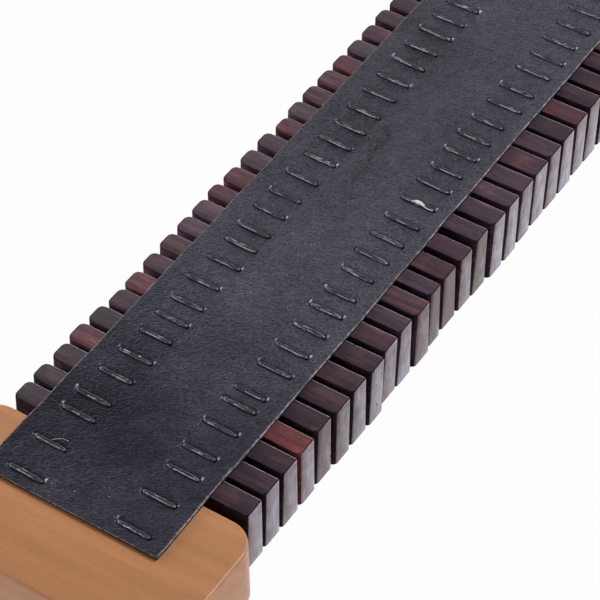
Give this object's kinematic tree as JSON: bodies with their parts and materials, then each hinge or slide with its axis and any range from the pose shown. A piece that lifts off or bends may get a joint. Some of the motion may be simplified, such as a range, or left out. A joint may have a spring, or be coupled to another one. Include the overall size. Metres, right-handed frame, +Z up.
{
  "type": "slat rattle",
  "caption": "Percussion rattle: upright hardwood slats sewn side by side under a broad leather strap, with a flat wooden handle at each end.",
  "frame": {"origin": "on the surface that the rattle rests on, straight below the middle of the middle slat", "axes": "+X along the strap from the left handle to the right handle, +Y along the slats, +Z up through the strap"},
  "size_m": [0.5324, 0.117, 0.0316],
  "materials": {
    "rosewood_purple": "planed and oiled rosewood, purple tone",
    "rosewood_plum": "planed and oiled rosewood, plum tone",
    "rosewood_brown": "planed and oiled rosewood, brown tone",
    "rosewood_red": "planed and oiled rosewood, red tone",
    "rosewood_scarlet": "planed and oiled rosewood, scarlet tone",
    "beech": "sanded and lacquered pale hardwood",
    "black_leather": "vegetable-tanned cowhide, dyed black on the grain side, raw pale cut edge",
    "waxed_thread": "doubled waxed linen thread, dark olive brown"
  },
  "bodies": {
    "middle": {"slat_19": "rosewood_red", "strap": "black_leather", "thread_left": "waxed_thread", "thread_right": "waxed_thread"},
    "slat_18": {"slat_18": "rosewood_plum"},
    "slat_17": {"slat_17": "rosewood_brown"},
    "slat_16": {"slat_16": "rosewood_purple"},
    "slat_15": {"slat_15": "rosewood_red"},
    "slat_14": {"slat_14": "rosewood_red"},
    "slat_13": {"slat_13": "rosewood_brown"},
    "slat_12": {"slat_12": "rosewood_brown"},
    "slat_11": {"slat_11": "rosewood_red"},
    "slat_10": {"slat_10": "rosewood_purple"},
    "slat_09": {"slat_09": "rosewood_brown"},
    "slat_08": {"slat_08": "rosewood_plum"},
    "slat_07": {"slat_07": "rosewood_red"},
    "slat_06": {"slat_06": "rosewood_purple"},
    "slat_05": {"slat_05": "rosewood_purple"},
    "slat_04": {"slat_04": "rosewood_scarlet"},
    "slat_03": {"slat_03": "rosewood_brown"},
    "slat_02": {"slat_02": "rosewood_plum"},
    "slat_01": {"slat_01": "rosewood_purple"},
    "handle_left": {"handle_left": "beech"},
    "slat_20": {"slat_20": "rosewood_purple"},
    "slat_21": {"slat_21": "rosewood_purple"},
    "slat_22": {"slat_22": "rosewood_red"},
    "slat_23": {"slat_23": "rosewood_purple"},
    "slat_24": {"slat_24": "rosewood_plum"},
    "slat_25": {"slat_25": "rosewood_brown"},
    "slat_26": {"slat_26": "rosewood_scarlet"},
    "slat_27": {"slat_27": "rosewood_purple"},
    "slat_28": {"slat_28": "rosewood_purple"},
    "slat_29": {"slat_29": "rosewood_red"},
    "slat_30": {"slat_30": "rosewood_plum"},
    "slat_31": {"slat_31": "rosewood_brown"},
    "slat_32": {"slat_32": "rosewood_purple"},
    "slat_33": {"slat_33": "rosewood_red"},
    "slat_34": {"slat_34": "rosewood_brown"},
    "slat_35": {"slat_35": "rosewood_brown"},
    "slat_36": {"slat_36": "rosewood_red"},
    "slat_37": {"slat_37": "rosewood_red"},
    "handle_right": {"handle_right": "beech"}
  },
  "joints": [
    {"name": "bend_18", "type": "hinge", "parent": "middle", "child": "slat_18", "pos_m": [-0.0055, 0, 0.02905], "axis": [0, 1, 0], "range_deg": [-1.9, 7], "deforming": ["strap", "thread_left", "thread_right"]},
    {"name": "bend_17", "type": "hinge", "parent": "slat_18", "child": "slat_17", "pos_m": [-0.0165, 0, 0.02905], "axis": [0, 1, 0], "range_deg": [-1.9, 7], "deforming": ["strap", "thread_left", "thread_right"]},
    {"name": "bend_16", "type": "hinge", "parent": "slat_17", "child": "slat_16", "pos_m": [-0.0275, 0, 0.02905], "axis": [0, 1, 0], "range_deg": [-1.9, 7], "deforming": ["strap", "thread_left", "thread_right"]},
    {"name": "bend_15", "type": "hinge", "parent": "slat_16", "child": "slat_15", "pos_m": [-0.0385, 0, 0.02905], "axis": [0, 1, 0], "range_deg": [-1.9, 7], "deforming": ["strap", "thread_left", "thread_right"]},
    {"name": "bend_14", "type": "hinge", "parent": "slat_15", "child": "slat_14", "pos_m": [-0.0495, 0, 0.02905], "axis": [0, 1, 0], "range_deg": [-1.9, 7], "deforming": ["strap", "thread_left", "thread_right"]},
    {"name": "bend_13", "type": "hinge", "parent": "slat_14", "child": "slat_13", "pos_m": [-0.0605, 0, 0.02905], "axis": [0, 1, 0], "range_deg": [-1.9, 7], "deforming": ["strap", "thread_left", "thread_right"]},
    {"name": "bend_12", "type": "hinge", "parent": "slat_13", "child": "slat_12", "pos_m": [-0.0715, 0, 0.02905], "axis": [0, 1, 0], "range_deg": [-1.9, 7], "deforming": ["strap", "thread_left", "thread_right"]},
    {"name": "bend_11", "type": "hinge", "parent": "slat_12", "child": "slat_11", "pos_m": [-0.0825, 0, 0.02905], "axis": [0, 1, 0], "range_deg": [-1.9, 7], "deforming": ["strap", "thread_left", "thread_right"]},
    {"name": "bend_10", "type": "hinge", "parent": "slat_11", "child": "slat_10", "pos_m": [-0.0935, 0, 0.02905], "axis": [0, 1, 0], "range_deg": [-1.9, 7], "deforming": ["strap", "thread_left", "thread_right"]},
    {"name": "bend_09", "type": "hinge", "parent": "slat_10", "child": "slat_09", "pos_m": [-0.1045, 0, 0.02905], "axis": [0, 1, 0], "range_deg": [-1.9, 7], "deforming": ["strap", "thread_left", "thread_right"]},
    {"name": "bend_08", "type": "hinge", "parent": "slat_09", "child": "slat_08", "pos_m": [-0.1155, 0, 0.02905], "axis": [0, 1, 0], "range_deg": [-1.9, 7], "deforming": ["strap", "thread_left", "thread_right"]},
    {"name": "bend_07", "type": "hinge", "parent": "slat_08", "child": "slat_07", "pos_m": [-0.1265, 0, 0.02905], "axis": [0, 1, 0], "range_deg": [-1.9, 7], "deforming": ["strap", "thread_left", "thread_right"]},
    {"name": "bend_06", "type": "hinge", "parent": "slat_07", "child": "slat_06", "pos_m": [-0.1375, 0, 0.02905], "axis": [0, 1, 0], "range_deg": [-1.9, 7], "deforming": ["strap", "thread_left", "thread_right"]},
    {"name": "bend_05", "type": "hinge", "parent": "slat_06", "child": "slat_05", "pos_m": [-0.1485, 0, 0.02905], "axis": [0, 1, 0], "range_deg": [-1.9, 7], "deforming": ["strap", "thread_left", "thread_right"]},
    {"name": "bend_04", "type": "hinge", "parent": "slat_05", "child": "slat_04", "pos_m": [-0.1595, 0, 0.02905], "axis": [0, 1, 0], "range_deg": [-1.9, 7], "deforming": ["strap", "thread_left", "thread_right"]},
    {"name": "bend_03", "type": "hinge", "parent": "slat_04", "child": "slat_03", "pos_m": [-0.1705, 0, 0.02905], "axis": [0, 1, 0], "range_deg": [-1.9, 7], "deforming": ["strap", "thread_left", "thread_right"]},
    {"name": "bend_02", "type": "hinge", "parent": "slat_03", "child": "slat_02", "pos_m": [-0.1815, 0, 0.02905], "axis": [0, 1, 0], "range_deg": [-1.9, 7], "deforming": ["strap", "thread_left", "thread_right"]},
    {"name": "bend_01", "type": "hinge", "parent": "slat_02", "child": "slat_01", "pos_m": [-0.1925, 0, 0.02905], "axis": [0, 1, 0], "range_deg": [-1.9, 7], "deforming": ["strap", "thread_left", "thread_right"]},
    {"name": "bend_handle_left", "type": "hinge", "parent": "slat_01", "child": "handle_left", "pos_m": [-0.2046, 0, 0.02905], "axis": [0, 1, 0], "range_deg": [-3.9, 7], "deforming": ["strap", "thread_left", "thread_right"]},
    {"name": "bend_20", "type": "hinge", "parent": "middle", "child": "slat_20", "pos_m": [0.0055, 0, 0.02905], "axis": [0, -1, 0], "range_deg": [-1.9, 7], "deforming": ["strap", "thread_left", "thread_right"]},
    {"name": "bend_21", "type": "hinge", "parent": "slat_20", "child": "slat_21", "pos_m": [0.0165, 0, 0.02905], "axis": [0, -1, 0], "range_deg": [-1.9, 7], "deforming": ["strap", "thread_left", "thread_right"]},
    {"name": "bend_22", "type": "hinge", "parent": "slat_21", "child": "slat_22", "pos_m": [0.0275, 0, 0.02905], "axis": [0, -1, 0], "range_deg": [-1.9, 7], "deforming": ["strap", "thread_left", "thread_right"]},
    {"name": "bend_23", "type": "hinge", "parent": "slat_22", "child": "slat_23", "pos_m": [0.0385, 0, 0.02905], "axis": [0, -1, 0], "range_deg": [-1.9, 7], "deforming": ["strap", "thread_left", "thread_right"]},
    {"name": "bend_24", "type": "hinge", "parent": "slat_23", "child": "slat_24", "pos_m": [0.0495, 0, 0.02905], "axis": [0, -1, 0], "range_deg": [-1.9, 7], "deforming": ["strap", "thread_left", "thread_right"]},
    {"name": "bend_25", "type": "hinge", "parent": "slat_24", "child": "slat_25", "pos_m": [0.0605, 0, 0.02905], "axis": [0, -1, 0], "range_deg": [-1.9, 7], "deforming": ["strap", "thread_left", "thread_right"]},
    {"name": "bend_26", "type": "hinge", "parent": "slat_25", "child": "slat_26", "pos_m": [0.0715, 0, 0.02905], "axis": [0, -1, 0], "range_deg": [-1.9, 7], "deforming": ["strap", "thread_left", "thread_right"]},
    {"name": "bend_27", "type": "hinge", "parent": "slat_26", "child": "slat_27", "pos_m": [0.0825, 0, 0.02905], "axis": [0, -1, 0], "range_deg": [-1.9, 7], "deforming": ["strap", "thread_left", "thread_right"]},
    {"name": "bend_28", "type": "hinge", "parent": "slat_27", "child": "slat_28", "pos_m": [0.0935, 0, 0.02905], "axis": [0, -1, 0], "range_deg": [-1.9, 7], "deforming": ["strap", "thread_left", "thread_right"]},
    {"name": "bend_29", "type": "hinge", "parent": "slat_28", "child": "slat_29", "pos_m": [0.1045, 0, 0.02905], "axis": [0, -1, 0], "range_deg": [-1.9, 7], "deforming": ["strap", "thread_left", "thread_right"]},
    {"name": "bend_30", "type": "hinge", "parent": "slat_29", "child": "slat_30", "pos_m": [0.1155, 0, 0.02905], "axis": [0, -1, 0], "range_deg": [-1.9, 7], "deforming": ["strap", "thread_left", "thread_right"]},
    {"name": "bend_31", "type": "hinge", "parent": "slat_30", "child": "slat_31", "pos_m": [0.1265, 0, 0.02905], "axis": [0, -1, 0], "range_deg": [-1.9, 7], "deforming": ["strap", "thread_left", "thread_right"]},
    {"name": "bend_32", "type": "hinge", "parent": "slat_31", "child": "slat_32", "pos_m": [0.1375, 0, 0.02905], "axis": [0, -1, 0], "range_deg": [-1.9, 7], "deforming": ["strap", "thread_left", "thread_right"]},
    {"name": "bend_33", "type": "hinge", "parent": "slat_32", "child": "slat_33", "pos_m": [0.1485, 0, 0.02905], "axis": [0, -1, 0], "range_deg": [-1.9, 7], "deforming": ["strap", "thread_left", "thread_right"]},
    {"name": "bend_34", "type": "hinge", "parent": "slat_33", "child": "slat_34", "pos_m": [0.1595, 0, 0.02905], "axis": [0, -1, 0], "range_deg": [-1.9, 7], "deforming": ["strap", "thread_left", "thread_right"]},
    {"name": "bend_35", "type": "hinge", "parent": "slat_34", "child": "slat_35", "pos_m": [0.1705, 0, 0.02905], "axis": [0, -1, 0], "range_deg": [-1.9, 7], "deforming": ["strap", "thread_left", "thread_right"]},
    {"name": "bend_36", "type": "hinge", "parent": "slat_35", "child": "slat_36", "pos_m": [0.1815, 0, 0.02905], "axis": [0, -1, 0], "range_deg": [-1.9, 7], "deforming": ["strap", "thread_left", "thread_right"]},
    {"name": "bend_37", "type": "hinge", "parent": "slat_36", "child": "slat_37", "pos_m": [0.1925, 0, 0.02905], "axis": [0, -1, 0], "range_deg": [-1.9, 7], "deforming": ["strap", "thread_left", "thread_right"]},
    {"name": "bend_handle_right", "type": "hinge", "parent": "slat_37", "child": "handle_right", "pos_m": [0.2046, 0, 0.02905], "axis": [0, -1, 0], "range_deg": [-3.9, 7], "deforming": ["strap", "thread_left", "thread_right"]}
  ]
}
